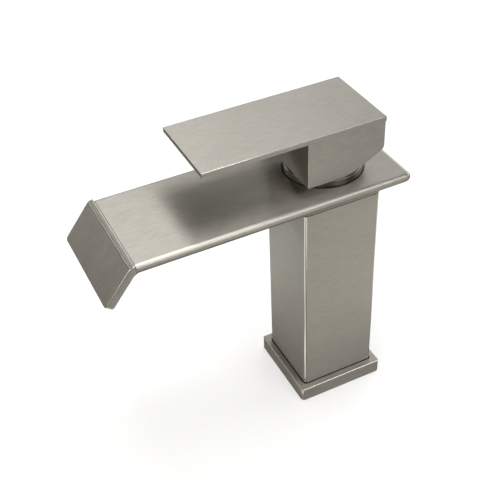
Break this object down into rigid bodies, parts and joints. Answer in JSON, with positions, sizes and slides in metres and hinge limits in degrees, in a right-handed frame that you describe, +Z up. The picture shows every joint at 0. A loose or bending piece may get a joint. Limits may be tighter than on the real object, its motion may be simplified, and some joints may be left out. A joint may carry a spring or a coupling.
{
  "type": "waterfall basin faucet",
  "caption": "Single-lever waterfall basin faucet in brushed nickel: square column, wide flat spout with a bent-down lip, and a flat lever over a wedge-shaped block.",
  "frame": {"origin": "middle of the square column, on the deck that the base stands on", "axes": "+Z up along the column, -Y towards the tip of the spout and of the lever, +X to the right hand of someone behind the faucet facing the spout"},
  "size_m": [0.0564, 0.1581, 0.1677],
  "materials": {
    "nickel": "brushed",
    "rubber": "matte",
    "plastic": "matte",
    "ceramic": "polished",
    "brass": "satin",
    "steel": "satin"
  },
  "bodies": {
    "fixed": {"deck_gasket": "rubber", "base_flange": "nickel", "foot_seal": "rubber", "column_body": "nickel", "neck_seal": "rubber", "spout_tray": "nickel", "spout_lip": "nickel", "cord_seal": "rubber", "spout_cover": "nickel", "cover_screws": "steel", "collar_washer": "rubber", "bonnet": "nickel", "cartridge_base": "plastic", "port_seals": "rubber", "fixed_disc": "ceramic", "cartridge_housing": "plastic", "housing_ring": "rubber", "cartridge_nut": "brass"},
    "swivel": {"rotor": "plastic", "lift_pin": "steel"},
    "lever": {"handle": "nickel", "stem": "brass", "set_screw": "steel", "set_screw_plug": "nickel"},
    "disc": {"moving_disc": "ceramic", "disc_carrier": "plastic"}
  },
  "joints": [
    {"name": "temperature", "type": "hinge", "parent": "fixed", "child": "swivel", "pos_m": [0, 0, 0.139], "axis": [0, 0, 1], "range_deg": [-45, 45]},
    {"name": "flow", "type": "hinge", "parent": "swivel", "child": "lever", "pos_m": [0, 0, 0.139], "axis": [-1, 0, 0], "range_deg": [0, 24]},
    {"name": "disc_travel", "type": "slide", "parent": "swivel", "child": "disc", "axis": [0, -1, 0], "range_m": [0, 0.00325]}
  ],
  "couplings": [
    {"joint": "disc_travel", "follows": "flow", "m_per_rad": 0.007768}
  ]
}
